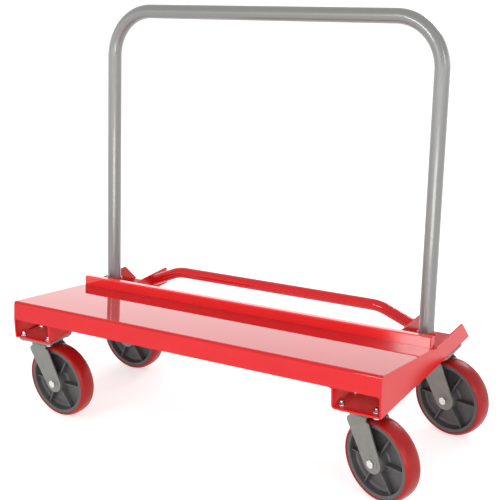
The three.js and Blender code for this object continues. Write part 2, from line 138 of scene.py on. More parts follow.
class Nodes:
    """Short hand for building one procedural material."""

    def __init__(self, name):
        self.material = bpy.data.materials.new(name)
        self.material.use_nodes = True
        self.tree = self.material.node_tree
        self.shader = self.tree.nodes["Principled BSDF"]
        self.coords = self.add("ShaderNodeTexCoord").outputs["Object"]

    def add(self, kind, **inputs):
        node = self.tree.nodes.new(kind)
        for key, value in inputs.items():
            node.inputs[key.replace("_", " ")].default_value = value
        return node

    def link(self, a, b):
        self.tree.links.new(a, b)

    def stretched(self, x, y, z):
        node = self.add("ShaderNodeMapping")
        node.inputs["Scale"].default_value = (x, y, z)
        self.link(self.coords, node.inputs["Vector"])
        return node.outputs["Vector"]

    def noise(self, scale, detail=2.0, roughness=0.5, vector=None):
        node = self.add("ShaderNodeTexNoise", Scale=scale, Detail=detail, Roughness=roughness)
        self.link(vector or self.coords, node.inputs["Vector"])
        return node.outputs["Fac"]

    def cells(self, scale):
        node = self.add("ShaderNodeTexVoronoi", Scale=scale)
        self.link(self.coords, node.inputs["Vector"])
        return node.outputs["Distance"]

    def spread(self, value, low, high, from_low=0.3, from_high=0.7):
        node = self.add("ShaderNodeMapRange")
        node.inputs["From Min"].default_value = from_low
        node.inputs["From Max"].default_value = from_high
        node.inputs["To Min"].default_value = low
        node.inputs["To Max"].default_value = high
        self.link(value, node.inputs["Value"])
        return node.outputs["Result"]

    def math(self, operation, first, second=0.0):
        node = self.add("ShaderNodeMath")
        node.operation = operation
        self.link(first, node.inputs[0])
        if isinstance(second, float):
            node.inputs[1].default_value = second
        else:
            self.link(second, node.inputs[1])
        return node.outputs["Value"]

    def blend(self, factor, first, second):
        node = self.add("ShaderNodeMix")
        node.data_type = "RGBA"
        self.link(factor, node.inputs["Factor"])
        for socket, value in ((node.inputs[6], first), (node.inputs[7], second)):
            if isinstance(value, tuple):
                socket.default_value = (*value, 1)
            else:
                self.link(value, socket)
        return node.outputs[2]

    def bump(self, height, strength, distance):
        node = self.add("ShaderNodeBump", Strength=strength, Distance=distance)
        self.link(height, node.inputs["Height"])
        return node.outputs["Normal"]

    def set(self, **values):
        for key, value in values.items():
            socket = self.shader.inputs[key.replace("_", " ")]
            if isinstance(value, bpy.types.NodeSocket):
                self.link(value, socket)
            else:
                socket.default_value = value
        return self.material


# Painted fill light deep inside the side members: across and up, the lighter tone starts the first
# distance deep in the sheet, under its inner face, and is full at the second. Along the cart it fades in
# from the front opening and out again towards the rear.
INSIDE_START, INSIDE_FULL = 0.9, 0.3
INSIDE_FRONT, INSIDE_REAR = (-8.0, 32.0), (330.0, 260.0)


def painted_fill_light_mask(m):
    """Mask of the painted fill light: 1 deep inside the side members, under the deck, and 0 on all that
    shows from outside.
    """
    place = m.add("ShaderNodeSeparateXYZ")
    m.link(m.coords, place.inputs["Vector"])
    across = m.math("ABSOLUTE", m.math("ADD", place.outputs["X"], -CART.translation.x))
    along = m.math("ADD", place.outputs["Y"], -CART.translation.y)
    flange = CHANNEL_INNER + SHEET
    ranges = (
        (across, flange - INSIDE_START, flange - INSIDE_FULL),
        (across, SIDE_INNER + INSIDE_START, SIDE_INNER + INSIDE_FULL),
        (place.outputs["Z"], WEB_TOP - INSIDE_START, WEB_TOP - INSIDE_FULL),
        (along, *INSIDE_FRONT),
        (along, *INSIDE_REAR),
    )
    masks = [m.spread(value, 0.0, 1.0, low * MM, high * MM) for value, low, high in ranges]
    inside = masks[0]
    for mask in masks[1:]:
        inside = m.math("MINIMUM", inside, mask)
    return inside


def red_enamel(name, light, dark, coat_roughness, coat_ior=1.4, inside=None):
    """Powder coat: deep red with a clear top and faint orange peel; with inside given, painted fill light
    deep in the side members.
    """
    m = Nodes(name)
    tone = m.spread(m.noise(7.0, 3.0), 0.0, 1.0)
    colour = m.blend(tone, light, dark)
    specks = m.spread(m.noise(700.0, 1.0), 0.0, 0.12, 0.68, 0.80)
    colour = m.blend(specks, colour, (0.63, 0.05, 0.05))
    # Painted fill light: a lighter colour deep inside the side members stands in for light that does not
    # reach there.
    if inside:
        colour = m.blend(painted_fill_light_mask(m), colour, inside)
    peel = m.bump(m.noise(330.0, 2.0), 0.06, 0.0001)
    return m.set(
        Base_Color=colour,
        Roughness=m.spread(m.noise(45.0, 3.0), 0.28, 0.38),
        Specular_IOR_Level=0.0,
        Coat_Weight=1.0,
        Coat_Roughness=coat_roughness,
        Coat_IOR=coat_ior,
        Normal=peel,
        Coat_Normal=peel,
    )


def silver_paint():
    """Grey metallic paint on drawn tube: fine flake and faint lengthwise drawing marks."""
    m = Nodes("silver_paint")
    flake = m.spread(m.cells(1400.0), 0.0, 1.0, 0.1, 0.6)
    colour = m.blend(flake, (0.195, 0.195, 0.19), (0.165, 0.165, 0.161))
    marks = m.spread(m.noise(60.0, 3.0, 0.6, m.stretched(1.0, 1.0, 0.02)), 0.0, 0.35)
    colour = m.blend(marks, colour, (0.15, 0.15, 0.147))
    return m.set(
        Base_Color=colour,
        Metallic=0.35,
        Roughness=m.spread(m.noise(80.0, 3.0), 0.33, 0.42),
        Coat_Weight=0.8,
        Coat_Roughness=0.11,
        Normal=m.bump(m.noise(420.0, 2.0), 0.12, 0.0001),
    )


def plated_steel(name, light, dark, rough_low, rough_high, metallic):
    """Plated steel, dull or bright: spangled patches, with fine rolling grain."""
    m = Nodes(name)
    patches = m.spread(m.noise(38.0, 4.0, 0.65), 0.0, 1.0)
    colour = m.blend(patches, light, dark)
    spangle = m.spread(m.cells(190.0), 0.0, 0.45, 0.05, 0.7)
    colour = m.blend(spangle, colour, dark)
    return m.set(
        Base_Color=colour,
        Metallic=metallic,
        Roughness=m.spread(m.noise(120.0, 3.0), rough_low, rough_high),
        Normal=m.bump(m.noise(700.0, 3.0), 0.12, 0.00008),
    )


def core_plastic():
    """Dark grey moulded nylon with a fine moulded grain and flow marks."""
    m = Nodes("core_plastic")
    flow = m.spread(m.noise(24.0, 4.0, 0.6), 0.0, 1.0)
    colour = m.blend(flow, (0.066, 0.062, 0.062), (0.048, 0.045, 0.045))
    scuff = m.spread(m.noise(260.0, 4.0, 0.7), 0.0, 0.5, 0.62, 0.8)
    colour = m.blend(scuff, colour, (0.11, 0.108, 0.11))
    return m.set(
        Base_Color=colour,
        Roughness=m.spread(m.noise(60.0, 3.0), 0.34, 0.48),
        Specular_IOR_Level=0.5,
        Normal=m.bump(m.noise(850.0, 2.0), 0.2, 0.00012),
    )


def red_urethane():
    """Cast polyurethane tread: darker than the paint, softly shiny, a little dust and scuffing."""
    m = Nodes("red_urethane")
    tone = m.spread(m.noise(16.0, 3.0), 0.0, 1.0)
    colour = m.blend(tone, (0.30, 0.007, 0.006), (0.23, 0.005, 0.005))
    scuff = m.spread(m.noise(180.0, 5.0, 0.7), 0.0, 0.35, 0.60, 0.84)
    colour = m.blend(scuff, colour, (0.27, 0.015, 0.013))
    return m.set(
        Base_Color=colour,
        Roughness=m.spread(m.noise(70.0, 4.0), 0.26, 0.38),
        Specular_IOR_Level=0.24,
        Normal=m.bump(m.noise(240.0, 3.0), 0.12, 0.00012),
    )


GLOSS_RED = red_enamel("gloss_red", (0.51, 0.005, 0.008), (0.475, 0.004, 0.007), 0.03)
# The backstop's red is a lighter copy of the same paint: painted light, making up for the floor light that
# the deck keeps off the bar.
BAR_RED_PAINTED_LIGHT = red_enamel("bar_red_painted_light", (0.76, 0.008, 0.01), (0.71, 0.007, 0.009), 0.08, coat_ior=1.65)
SATIN = ((0.53, 0.008, 0.009), (0.495, 0.007, 0.008), 0.2, 1.32)
RED = red_enamel("satin_red", *SATIN)
# Satin red with painted fill light: lighter deep inside the side members.
SIDE_RED_PAINTED_LIGHT = red_enamel("side_red_painted_light", *SATIN, inside=(0.95, 0.125, 0.11))
SILVER = silver_paint()
STEEL = plated_steel("fork_steel", (0.21, 0.211, 0.19), (0.165, 0.166, 0.15), 0.38, 0.5, 0.5)
ZINC = plated_steel("bright_zinc", (0.76, 0.76, 0.745), (0.6, 0.6, 0.59), 0.16, 0.28, 1.0)
CORE = core_plastic()
TREAD = red_urethane()


# --- mesh tools ----------------------------------------------------------------------------------


def upright(x, y, h):
    return (x, y, h)


def arc(cx, cy, radius, start, end, steps):
    """Points on a circle between two angles in degrees, both ends included."""
    turn = [math.radians(start + (end - start) * i / steps) for i in range(steps + 1)]
    return [(cx + radius * math.cos(a), cy + radius * math.sin(a)) for a in turn]


def rounded(outline, radii, steps):
    """The outline with the corners numbered in radii rounded off."""
    out = []
    count = len(outline)
    for i, corner in enumerate(outline):
        if i not in radii:
            out.append(corner)
            continue
        p = Vector(corner)
        a = Vector(outline[i - 1]) - p
        b = Vector(outline[(i + 1) % count]) - p
        a.normalize()
        b.normalize()
        half = a.angle(b) / 2
        back = radii[i] / math.tan(half)
        centre = p + (a + b).normalized() * (radii[i] / math.sin(half))
        first, last = p + a * back - centre, p + b * back - centre
        sweep = first.angle_signed(last)
        for k in range(steps + 1):
            turned = Matrix.Rotation(-sweep * k / steps, 2) @ first
            out.append(tuple(centre + turned))
    return out


SOFTEN_OVER = math.radians(35.0)


def soften(bm, width):
    """Bevels every edge sharper than SOFTEN_OVER."""
    bmesh.ops.recalc_face_normals(bm, faces=bm.faces)
    edges = [e for e in bm.edges if len(e.link_faces) == 2 and e.calc_face_angle(0.0) > SOFTEN_OVER]
    bmesh.ops.bevel(
        bm, geom=edges, offset=width, segments=2, profile=0.5, affect="EDGES", clamp_overlap=True
    )


def join_rings(bm, rings):
    """Faces between each ring of points and the next."""
    for one, two in zip(rings, rings[1:]):
        for i in range(len(one)):
            j = (i + 1) % len(one)
            bm.faces.new((one[i], one[j], two[j], two[i]))


def cap_ends(bm, rings):
    bm.faces.new(rings[0][::-1])
    bm.faces.new(rings[-1])


def merge(target, *sources):
    """Adds the sources' geometry to the target and frees them."""
    for source in sources:
        mesh = bpy.data.meshes.new("part")
        source.to_mesh(mesh)
        source.free()
        target.from_mesh(mesh)
        bpy.data.meshes.remove(mesh)
    return target


def prism(outline, low, high, place, bevel):
    """Solid between two copies of an outline, with its sharp edges softened."""
    bm = bmesh.new()
    ends = [[bm.verts.new(place(a, b, end)) for a, b in outline] for end in (low, high)]
    cap_ends(bm, ends)
    join_rings(bm, ends)
    if bevel:
        soften(bm, bevel)
    return bm


def bent_plate(outline, cuts, thickness, fold, bevel):
    """Flat plate drawn in (along, across), cut at the values of across listed, then folded."""
    bm = bmesh.new()
    bm.faces.new([bm.verts.new((a, b, 0)) for a, b in outline])
    for cut in cuts:
        bmesh.ops.bisect_plane(
            bm, geom=bm.verts[:] + bm.edges[:] + bm.faces[:], plane_co=(0, cut, 0), plane_no=(0, 1, 0)
        )
    made = bmesh.ops.extrude_face_region(bm, geom=bm.faces[:])
    top = [g for g in made["geom"] if isinstance(g, bmesh.types.BMVert)]
    bmesh.ops.translate(bm, verts=top, vec=(0, 0, thickness))
    soften(bm, bevel)
    for v in bm.verts:
        v.co = fold(*v.co)
    return bm


def lathe(profile, segments, place):
    """Turns a closed profile of (radius, height); points on the axis become one vertex."""
    bm = bmesh.new()
    rings = []
    for r, h in profile:
        if r < 1e-6:
            rings.append([bm.verts.new(place(0, 0, h))])
        else:
            turn = [2 * math.pi * k / segments for k in range(segments)]
            rings.append([bm.verts.new(place(r * math.cos(a), r * math.sin(a), h)) for a in turn])
    for i, ring in enumerate(rings):
        after = rings[(i + 1) % len(rings)]
        if len(ring) == 1 and len(after) == 1:
            continue
        for k in range(segments):
            n = (k + 1) % segments
            if len(ring) == 1:
                bm.faces.new((ring[0], after[n], after[k]))
            elif len(after) == 1:
                bm.faces.new((ring[k], ring[n], after[0]))
            else:
                bm.faces.new((ring[k], ring[n], after[n], after[k]))
    bmesh.ops.recalc_face_normals(bm, faces=bm.faces)
    return bm


def tube(points, radius, wall, sides, normal, end=None):
    """Hollow tube along a path in the plane with this normal; end moves the end rings' points."""
    bm = bmesh.new()
    points = [Vector(p) for p in points]
    normal = Vector(normal).normalized()
    shells = []
    for r in (radius, radius - wall):
        rings = []
        for i, p in enumerate(points):
            ahead = points[min(i + 1, len(points) - 1)] - p
            behind = p - points[max(i - 1, 0)]
            tangent = (ahead.normalized() + behind.normalized()).normalized()
            across = tangent.cross(normal)
            ring = []
            for k in range(sides):
                a = 2 * math.pi * k / sides
                q = p + (normal * math.cos(a) + across * math.sin(a)) * r
                if end and i in (0, len(points) - 1):
                    q = end(q, tangent)
                ring.append(bm.verts.new(q))
            rings.append(ring)
        shells.append(rings)
    for rings in shells:
        join_rings(bm, rings)
    for i in (0, -1):
        join_rings(bm, (shells[0][i], shells[1][i]))
    bmesh.ops.recalc_face_normals(bm, faces=bm.faces)
    return bm


def bead(path, radius, seed, sides=8, pitch=2.6, step=0.9):
    """Weld bead along a path: overlapping puddles of slightly uneven size, tapered at both ends."""
    draw = random.Random(seed)
    path = [Vector(p) for p in path]
    lengths = [0.0]
    for one, two in zip(path, path[1:]):
        lengths.append(lengths[-1] + (two - one).length)
    total = lengths[-1]
    count = max(4, int(total / step))
    bm = bmesh.new()
    rings = []
    place = 0
    for i in range(count + 1):
        s = total * i / count
        while place < len(path) - 2 and lengths[place + 1] < s:
            place += 1
        part = (s - lengths[place]) / max(lengths[place + 1] - lengths[place], 1e-6)
        centre = path[place].lerp(path[place + 1], part)
        tangent = (path[place + 1] - path[place]).normalized()
        side = tangent.cross(Vector((0.13, 0.31, 0.94))).normalized()
        up = side.cross(tangent)
        size = radius * (0.80 + 0.20 * abs(math.sin(math.pi * s / pitch)) + draw.uniform(-0.05, 0.05))
        size *= min(1.0, 0.35 + 0.65 * min(s, total - s) / (1.6 * radius))
        shift = side * draw.uniform(-0.12, 0.12) * radius + up * draw.uniform(-0.12, 0.12) * radius
        ring = []
        for k in range(sides):
            a = 2 * math.pi * k / sides
            ring.append(bm.verts.new(centre + shift + (side * math.cos(a) + up * math.sin(a)) * size))
        rings.append(ring)
    join_rings(bm, rings)
    cap_ends(bm, rings)
    bmesh.ops.recalc_face_normals(bm, faces=bm.faces)
    return bm


def hexagon(corner, low, high, chamfer_low=True, chamfer_high=True, place=upright):
    """Hex prism along its axis, with its corners turned off at the ends that say so."""
    flat = corner * math.cos(math.radians(30))
    cone = flat * 0.97
    bm = bmesh.new()
    around = 48
    rings = [[], [], [], []]
    for k in range(around):
        a = 2 * math.pi * k / around
        off = (math.degrees(a) + 30) % 60 - 30
        edge = flat / math.cos(math.radians(off))
        drop = (edge - cone) * 0.5
        low_edge = low + (drop if chamfer_low else 0.15)
        high_edge = high - (drop if chamfer_high else 0.15)
        for ring, (r, h) in zip(rings, ((cone, low), (edge, low_edge), (edge, high_edge), (cone, high))):
            ring.append(bm.verts.new(place(r * math.cos(a), r * math.sin(a), h)))
    join_rings(bm, rings)
    cap_ends(bm, rings)
    bmesh.ops.recalc_face_normals(bm, faces=bm.faces)
    return bm


def threaded(radius, low, high, place, pitch=1.5, depth=0.55):
    """Bolt end: thread rings, then a chamfered tip at the high end."""
    profile = [(0.0, low), (radius, low)]
    h = low + 0.4 * math.copysign(1, high - low)
    step = pitch * math.copysign(1, high - low)
    while abs(high - h) > 1.6 * pitch:
        profile += [(radius, h + 0.3 * step), (radius - depth, h + 0.5 * step), (radius, h + 0.9 * step)]
        h += step
    profile += [(radius - 0.2, high - 0.6 * step), (radius - 1.0, high), (0.0, high)]
    return lathe(profile, 32, place)


def corner_normals(bm, sharp):
    """A normal for each face corner, weighted by area so that large flat faces stay flat."""
    limit = math.cos(math.radians(sharp))
    bm.normal_update()
    area = {face: face.calc_area() for face in bm.faces}
    normals = []
    for face in bm.faces:
        for vert in face.verts:
            total = Vector((0, 0, 0))
            for near in vert.link_faces:
                if near.normal.dot(face.normal) > limit:
                    total += near.normal * area[near]
            normals.append(total.normalized() if total.length > 0 else face.normal.copy())
    return normals


def piece(name, bm, material, body, slot, nodes=(), matrix=CART, sharp=50.0):
    """Makes the object, in metres, riding its body in place of the CAD nodes named."""
    mesh = bpy.data.meshes.new(name)
    bm.faces.ensure_lookup_table()
    normals = corner_normals(bm, sharp)
    bm.transform(matrix)
    bm.to_mesh(mesh)
    bm.free()
    mesh.shade_smooth()
    turn = matrix.to_3x3().normalized()
    mesh.normals_split_custom_set([turn @ n for n in normals])
    mesh.materials.append(material)
    obj = bpy.data.objects.new(name, mesh)
    bpy.context.scene.collection.objects.link(obj)
    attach(obj, body)
    if nodes:
        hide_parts(*nodes)


# --- deck and side members -----------------------------------------------------------------------


def on_deck(s, n):
    """Deck axes to (y, z): s down the slope from the front edge, n out of the deck."""
    return (
        s * math.cos(DECK_TILT) + n * math.sin(DECK_TILT),
        DECK_FRONT_Z - s * math.sin(DECK_TILT) + n * math.cos(DECK_TILT),
    )


def deck_place(s, n, x):
    y, z = on_deck(s, n)
    return (x, y, z)


def side_place(y, z, x):
    return (x, y, z)


def deck_tray():
    rear = DECK_REAR - 2 * GAP
    outline = [(rear, -SHEET), (rear, 0)]
    outline += arc(BEND, -BEND, BEND, 90, 180, 10)
    outline += [(0, -APRON), (SHEET, -APRON)]
    outline += arc(BEND, -BEND, BEND - SHEET, 180, 90, 10)
    return prism(outline, -DECK_HALF, DECK_HALF, deck_place, bevel=0.5)


def side_outline():
    """Outline of the end plate, in (y, z), from the front corner of the web."""
    top = WEB_Z + SIDE_REAR_HEIGHT
    depth = DECK_REAR + BACKSTOP_DEPTH
    under = -SHEET - GAP / 2
    behind_apron = SHEET + GAP / 2
    low = -APRON - GAP
    return [
        (SIDE_FRONT_Y, WEB_Z),
        (SIDE_REAR_Y, WEB_Z),
        (SIDE_REAR_Y - SIDE_TIP_CUT, top),
        (on_deck(depth, under)[0], top),
        on_deck(depth, under),
        on_deck(BEND, under),
        on_deck(behind_apron, -BEND),
        on_deck(behind_apron, low),
        on_deck(0, low),
    ]


def end_plate(side):
    outline = rounded(side_outline(), {1: 1.5, 2: 2.0, 8: 1.0}, 4)
    x0 = SIDE_INNER if side > 0 else -DECK_HALF
    return prism(outline, x0, x0 + SHEET, side_place, bevel=0.5)


def caster_channel(side):
    """Web and inner flange, drawn flat in (y, distance round the section) and folded up."""
    outer = SIDE_INNER - GAP / 2
    web = outer - CHANNEL_INNER - BEND
    wrap = BEND * math.pi / 2

    def round_section(z):
        return web + wrap + (z - WEB_Z - BEND)

    side_view = side_outline()
    front = side_view[8]
    flange = [(y, round_section(z)) for y, z in ((SIDE_REAR_Y, side_view[2][1]), *side_view[3:])]
    front_at_bend = SIDE_FRONT_Y + (front[0] - SIDE_FRONT_Y) * BEND / (front[1] - WEB_Z)
    outline = [(SIDE_FRONT_Y, 0), (WEB_REAR_Y, 0), (WEB_REAR_Y, web), (SIDE_REAR_Y, web)]
    outline += [*flange, (front_at_bend, web + wrap), (SIDE_FRONT_Y, web)]
    outline = rounded(outline, {4: 2.0}, 4)

    def fold(y, u, t):
        if u <= web:
            x, z = outer - u, WEB_Z + t
        elif u >= web + wrap:
            x, z = CHANNEL_INNER + t, WEB_Z + BEND + u - web - wrap
        else:
            a = (u - web) / BEND
            x = CHANNEL_INNER + BEND - (BEND - t) * math.sin(a)
            z = WEB_Z + BEND - (BEND - t) * math.cos(a)
        return (side * x, y, z)

    cuts = [web + wrap * k / 8 for k in range(9)]
    return bent_plate(outline, cuts, SHEET, fold, bevel=0.5)


def backstop_outline():
    s = DECK_REAR
    box = [
        (s, -SHEET),
        (s + BACKSTOP_DEPTH, -SHEET),
        (s + BACKSTOP_DEPTH, BACKSTOP_TOP),
        (s, BACKSTOP_TOP),
    ]
    return rounded(box, {i: 3.5 for i in range(4)}, 6)


def deck_rib():
    top = -SHEET - GAP
    low = top - RIB_HEIGHT
    outline = [
        (RIB_FRONT, top),
        (RIB_FRONT, low),
        (RIB_REAR, low),
        (RIB_REAR, top),
        (RIB_REAR - RIB_WALL, top),
        (RIB_REAR - RIB_WALL, low + RIB_WALL),
        (RIB_FRONT + RIB_WALL, low + RIB_WALL),
        (RIB_FRONT + RIB_WALL, top),
    ]
    outline = rounded(outline, {1: 6.0, 2: 6.0, 5: 2.0, 6: 2.0}, 5)
    reach = CHANNEL_INNER - 2 * GAP
    return prism(outline, -reach, reach, deck_place, bevel=0.5)


piece("deck_sheet", deck_tray(), GLOSS_RED, "cart", "red_paint", ["deck_tray"])
piece("deck_stiffener", deck_rib(), RED, "cart", "red_paint", ["deck_rib"])
piece(
    "backstop_bar",
    prism(backstop_outline(), -BAR_END, BAR_END, deck_place, bevel=0),
    BAR_RED_PAINTED_LIGHT,
    "cart",
    "red_paint",
    ["backstop"],
)
for label, side in (("left", -1), ("right", 1)):
    x0 = min(side * BAR_END, side * (BAR_END + BAR_CAP))
    cap = prism(backstop_outline(), x0, x0 + BAR_CAP, deck_place, bevel=0.7)
    piece(f"bar_cap_{label}", cap, GLOSS_RED, "cart", "red_paint", [f"backstop_cap_{label}"])
    piece(f"side_plate_{label}", end_plate(side), SIDE_RED_PAINTED_LIGHT, "cart", "red_paint", [f"end_plate_{label}"])
    piece(
        f"channel_{label}",
        caster_channel(side),
        SIDE_RED_PAINTED_LIGHT,
        "cart",
        "red_paint",
        [f"caster_channel_{label}"],
    )


# --- tube frame, sockets and rear rail -----------------------------------------------------------


def frame_point(x, h):
    return (x, RIM_Y + h * math.sin(HANDLE_TILT), RIM_Z + h * math.cos(HANDLE_TILT))


def handle_path():
    drop = WEB_TOP + 0.3 + HANDLE_RADIUS * math.sin(HANDLE_TILT) - RIM_Z
    bottom = drop / math.cos(HANDLE_TILT)
    left = [(-LEG_X, h) for h in (bottom, bottom + 60, 330, HANDLE_RISE - HANDLE_BEND - 20)]
    for x, h in arc(-LEG_X + HANDLE_BEND, HANDLE_RISE - HANDLE_BEND, HANDLE_BEND, 180, 90, 28):
        left.append((x, h))
    right = [(-x, h) for x, h in reversed(left)]
    return [frame_point(x, h) for x, h in [*left, (0, HANDLE_RISE), *right]]


def socket(side):
    """Collar on the web that the leg drops into, its rim rounded inside and out."""
    low = (WEB_TOP - RIM_Z) / math.cos(HANDLE_TILT) - 8
    profile = [
        (SOCKET_BORE, low),
        (SOCKET_RADIUS, low),
        (SOCKET_RADIUS, -1.4),
        (SOCKET_RADIUS - 0.4, -0.5),
        (SOCKET_RADIUS - 1.3, 0.0),
        (SOCKET_BORE + 0.9, 0.0),
        (SOCKET_BORE + 0.2, -0.3),
        (SOCKET_BORE, -0.9),
    ]
    cos_t, sin_t = math.cos(HANDLE_TILT), math.sin(HANDLE_TILT)

    def place(a, b, h):
        y = RIM_Y + h * sin_t + b * cos_t
        z = RIM_Z + h * cos_t - b * sin_t
        if z < WEB_TOP:
            y += (WEB_TOP - z) * math.tan(HANDLE_TILT)
            z = WEB_TOP
        return (side * LEG_X + a, y, z)

    return lathe(profile, 64, place)


def rail_path():
    half = [(0, RAIL_Z), (RAIL_FLAT_X * 0.5, RAIL_Z), (RAIL_FLAT_X - 10, RAIL_Z)]
    for k in range(13):
        a = RAIL_SLOPE * k / 12
        half.append((RAIL_FLAT_X + RAIL_BEND * math.sin(a), RAIL_Z - RAIL_BEND * (1 - math.cos(a))))
    x, z = half[-1]
    reach = CHANNEL_INNER - x
    half.append((x + reach, z - reach * math.tan(RAIL_SLOPE)))
    full = [(-x, z) for x, z in reversed(half[1:])] + half
    return [(x, RAIL_Y, z) for x, z in full]


def trim_rail(point, tangent):
    """Moves a point of an end ring along the tube to the flange's face."""
    target = math.copysign(CHANNEL_INNER - GAP, point.x)
    return point + tangent * ((target - point.x) / tangent.x)


handle_normal = (0, math.cos(HANDLE_TILT), -math.sin(HANDLE_TILT))
piece(
    "upright_frame",
    tube(handle_path(), HANDLE_RADIUS, HANDLE_WALL, 64, handle_normal),
    SILVER,
    "handle",
    "silver_paint",
    ["handle_frame"],
)
piece(
    "rear_tube",
    tube(rail_path(), RAIL_RADIUS, RAIL_WALL, 48, (0, 1, 0), trim_rail),
    GLOSS_RED,
    "cart",
    "red_paint",
    ["rear_rail"],
)
for label, side in (("left", -1), ("right", 1)):
    piece(f"collar_{label}", socket(side), RED, "cart", "red_paint", [f"leg_socket_{label}"])


# --- welds ---------------------------------------------------------------------------------------


def ring_path(centre, first, second):
    """Points all round an ellipse with these half axes."""
    out = []
    steps = 40
    for k in range(steps + 1):
        a = math.radians(360.0 * k / steps)
        out.append(Vector(centre) + Vector(first) * math.cos(a) + Vector(second) * math.sin(a))
    return out


# Where the long welds of a side member start, and how long each is.
PLATE_WELDS, PLATE_WELD_LENGTH = (40, 150, 262, 360, 470), 38
FLANGE_WELDS, FLANGE_WELD_LENGTH = (30, 118, 214), 36


def weld_seams():
    """All the weld beads, in one mesh."""
    draw = random.Random(11)
    welds = bmesh.new()

    def run(path, radius):
        merge(welds, bead(path, radius, draw.random()))

    # Stitches of uneven length along the front foot of the backstop.
    x, last = -DECK_HALF + 60, 330
    y, z = on_deck(DECK_REAR - 0.4, 0.2)
    while x < last:
        length = draw.uniform(12, 22)
        run([(x, y, z), (x + length, y, z)], 1.7)
        x += length + draw.uniform(46, 90)
    for side in (-1, 1):
        # Round each socket's foot.
        y = RIM_Y - (RIM_Z - WEB_TOP) * math.tan(HANDLE_TILT)
        r = SOCKET_RADIUS + 0.6
        run(ring_path((side * LEG_X, y, WEB_TOP + 0.6), (r, 0, 0), (0, r * 1.01, 0)), 2.8)
        # Side member to apron, inside each front corner.
        y, z = on_deck(SHEET + 0.6, -APRON + 0.4)
        for x0 in (CHANNEL_INNER + 5.5, SIDE_INNER - 16):
            run([(side * x0, y, z), (side * (x0 + 14), y, z)], 2.2)
        # Tacks where the flange and the side plate meet the apron's lower edge, seen from the front.
        y, z = on_deck(0.6, -APRON - 0.2)
        for one, two, radius in (
            (CHANNEL_INNER - 4, CHANNEL_INNER + 7, 1.9),
            (DECK_HALF - 9, DECK_HALF - 2.4, 1.7),
        ):
            run([(side * one, y - 0.4, z), (side * two, y - 0.4, z)], radius)
        # Side plate to web, inside the corner.
        corner = Vector((side * (SIDE_INNER - 0.6), 0, WEB_TOP + 0.6))
        for y0 in PLATE_WELDS:
            one = corner + Vector((0, y0, 0))
            run([one, one + Vector((0, PLATE_WELD_LENGTH, 0))], 2.4)
        # The deck's underside to the flange.
        for s0 in FLANGE_WELDS:
            ends = [on_deck(s, -SHEET - 0.6) for s in (s0, s0 + FLANGE_WELD_LENGTH)]
            run([(side * (CHANNEL_INNER - 0.6), y, z) for y, z in ends], 2.2)
        # Round the rear rail where it meets the flange.
        x_end = CHANNEL_INNER - 0.8
        arc_x = RAIL_FLAT_X + RAIL_BEND * math.sin(RAIL_SLOPE)
        drop = RAIL_BEND * (1 - math.cos(RAIL_SLOPE)) + (x_end - arc_x) * math.tan(RAIL_SLOPE)
        r = RAIL_RADIUS + 0.5
        centre = (side * x_end, RAIL_Y, RAIL_Z - drop)
        run(ring_path(centre, (0, r, 0), (0, 0, r / math.cos(RAIL_SLOPE))), 2.4)
    return welds


piece("weld_beads", weld_seams(), RED, "cart", "red_paint", sharp=60)


# --- casters -------------------------------------------------------------------------------------


def across_wheel(a, b, h):
    """Turned about the axle: the height of the profile runs along local y."""
    return (WHEEL_OFFSET + a, h, WHEEL_RADIUS + b)


def caster_plate(long_x, low, top):
    """Mounting plate with its swivel seat, kingpin and kingpin nut."""
    hx, hy = (PLATE_LONG, PLATE_SHORT) if long_x else (PLATE_SHORT, PLATE_LONG)
    square = [(-hx, -hy), (hx, -hy), (hx, hy), (-hx, hy)]
    square = rounded(square, {i: PLATE_CORNER for i in range(4)}, 8)
    plate = prism(square, top - PLATE_THICK, top, upright, bevel=0.9)
    seat = [(0, top - 8), (17.0, top - 8), (18.0, top - 7.2), (19.5, top - 5.8), (0, top - 5.8)]
    pin = [(0, low + 1), (8, low + 1), (8, top - 5.5), (0, top - 5.5)]
    tip = [(0, low - 0.2), (6.6, low - 0.2), (7.6, low + 0.8), (7.6, low + 1.5), (0, low + 1.5)]
    merge(plate, lathe(seat, 48, upright), lathe(pin, 32, upright), lathe(tip, 32, upright))
    return merge(plate, hexagon(14.0, low + 0.2, low + 5.2))


def plate_bolt():
    """Hex bolt from below: head under the caster plate, washer, nut and threaded end on the web."""
    under = WEB_Z - BOLT_DROP
    on_web = WEB_TOP + 0.2
    on_washer = on_web + 1.2
    head = hexagon(BOLT_HEX, under - 5.0, under, chamfer_high=False)
    washer = [(5.0, on_web), (9.0, on_web), (9.3, on_web + 0.4), (9.0, on_washer), (5.0, on_washer)]
    nut = hexagon(BOLT_HEX, on_washer, on_web + 7.8)
    shank = [(0, under - 1), (BOLT_RADIUS, under - 1), (BOLT_RADIUS, on_web + 6), (0, on_web + 6)]
    merge(head, lathe(washer, 32, upright), nut, lathe(shank, 24, upright))
    end = threaded(BOLT_RADIUS, on_web + 5.0, on_web + 11.0, upright, pitch=1.25, depth=0.45)
    return merge(head, end)


def ball_race():
    """Swivel raceway: an upper cup over a lower ring, with the gap between them."""
    low, high = CROWN_TOP + 0.15, WEB_Z - 6.45
    mid = (low + high) / 2
    profile = [
        (20.5, low),
        (33.6, low),
        (34.6, low + 0.5),
        (34.8, mid - 0.8),
        (33.2, mid - 0.4),
        (33.2, mid + 0.3),
        (35.0, mid + 0.6),
        (35.0, high - 1.0),
        (34.2, high - 0.3),
        (32.6, high),
        (20.5, high),
    ]
    return lathe(profile, 64, upright)


def tangent_point(px, pz, sign):
    dx, dz = px - WHEEL_OFFSET, pz - WHEEL_RADIUS
    return math.degrees(math.atan2(dz, dx) + sign * math.acos(FORK_BOSS / math.hypot(dx, dz)))


